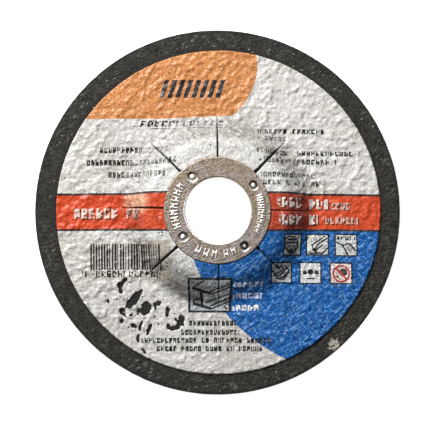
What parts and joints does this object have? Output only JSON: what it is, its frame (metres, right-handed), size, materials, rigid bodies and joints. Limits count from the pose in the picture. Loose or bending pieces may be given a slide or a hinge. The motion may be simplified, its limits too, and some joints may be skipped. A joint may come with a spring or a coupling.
{
  "type": "depressed-centre grinding disc",
  "caption": "Round bonded-abrasive grinding disc with a raised hub, a paper label with radial slits and a steel ring lining its bore.",
  "frame": {"origin": "centre of the bore in the plane of the working face, on which the disc lies", "axes": "+Z along the bore, from the working face towards the hub and the label; +Y is up on the label, and +X is to its right"},
  "size_m": [0.125, 0.125, 0.0113],
  "materials": {
    "resin_bonded_grit": "coarse, matt",
    "printed_paper": "printed, satin",
    "tinned_steel": "pressed, satin"
  },
  "bodies": {
    "root": {"abrasive_body": "resin_bonded_grit", "paper_label": "printed_paper", "centre_ring": "tinned_steel"}
  },
  "joints": []
}
